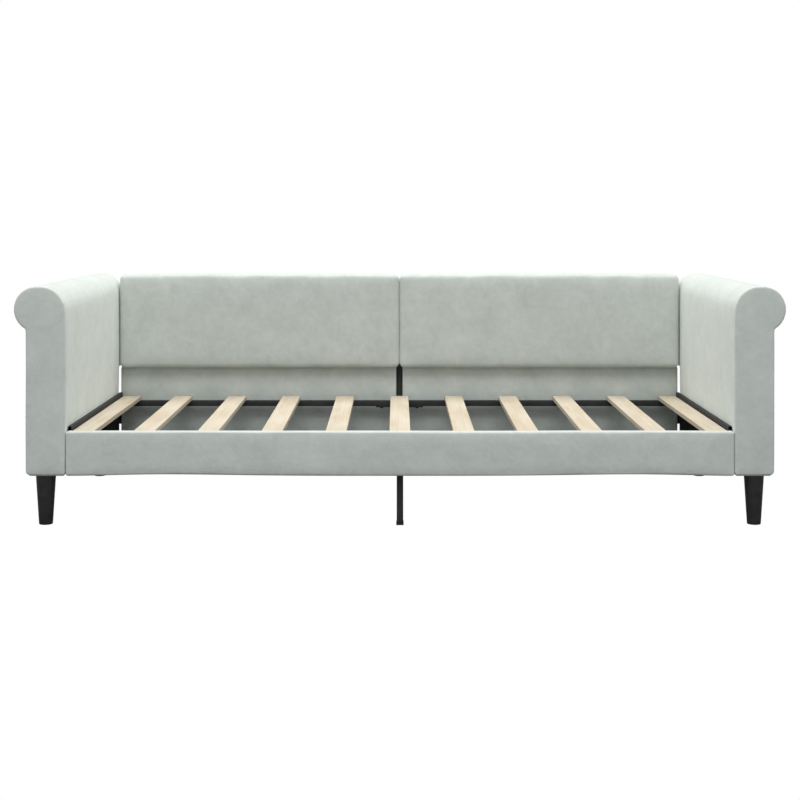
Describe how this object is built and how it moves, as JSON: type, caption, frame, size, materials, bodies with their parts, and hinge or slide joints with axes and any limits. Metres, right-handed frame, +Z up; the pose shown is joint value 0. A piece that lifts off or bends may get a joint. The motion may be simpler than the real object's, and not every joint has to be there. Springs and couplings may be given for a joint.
{
  "type": "daybed",
  "caption": "Upholstered single daybed with rolled arms, a padded back in two halves, a low front rail and a slatted base on tapered legs.",
  "frame": {"origin": "on the floor, midway between the arms and midway between the front and rear of the arms", "axes": "+X along the bed towards the right arm seen from the front, +Y towards the back, +Z up"},
  "size_m": [2.345, 0.965, 0.7315],
  "materials": {
    "velvet": "matte",
    "black_lining": "matte",
    "frame_wood": "matte",
    "slat_wood": "satin",
    "leg_black": "satin",
    "black_steel": "satin",
    "plated_steel": "satin",
    "roll_card": "matte",
    "black_plastic": "satin"
  },
  "bodies": {
    "root": {"arm_left_base_panel": "frame_wood", "arm_left_cover": "velvet", "arm_left_frame": "frame_wood", "arm_left_inner_panel": "frame_wood", "arm_left_lining": "black_lining", "arm_left_roll_core": "roll_card", "arm_right_base_panel": "frame_wood", "arm_right_cover": "velvet", "arm_right_frame": "frame_wood", "arm_right_inner_panel": "frame_wood", "arm_right_lining": "black_lining", "arm_right_roll_core": "roll_card", "back_bar_joining_plate": "black_steel", "back_bar_left": "black_steel", "back_bar_right": "black_steel", "back_joint_plate": "black_steel", "back_left_board": "frame_wood", "back_left_lower_cover": "velvet", "back_left_pad": "velvet", "back_left_rear_lining": "black_lining", "back_right_board": "frame_wood", "back_right_lower_cover": "velvet", "back_right_pad": "velvet", "back_right_rear_lining": "black_lining", "centre_beam": "black_steel", "end_bar_left": "black_steel", "end_bar_right": "black_steel", "front_bearer": "black_steel", "front_bracket_left": "black_steel", "front_bracket_right": "black_steel", "front_centre_leg": "black_steel", "front_centre_leg_cap": "black_plastic", "front_rail_board": "frame_wood", "front_rail_cover": "velvet", "joining_bolt_left": "black_steel", "joining_bolt_right": "black_steel", "leg_bolt_front_left": "plated_steel", "leg_bolt_front_right": "plated_steel", "leg_bolt_rear_left": "plated_steel", "leg_bolt_rear_right": "plated_steel", "leg_front_left": "leg_black", "leg_front_right": "leg_black", "leg_rear_left": "leg_black", "leg_rear_right": "leg_black", "rear_bracket_left": "black_steel", "rear_bracket_right": "black_steel", "rear_centre_post": "black_steel", "rear_centre_post_cap": "black_plastic", "slat_01": "slat_wood", "slat_02": "slat_wood", "slat_03": "slat_wood", "slat_04": "slat_wood", "slat_05": "slat_wood", "slat_06": "slat_wood", "slat_07": "slat_wood", "slat_08": "slat_wood", "slat_09": "slat_wood", "slat_10": "slat_wood", "slat_11": "slat_wood"}
  },
  "joints": []
}
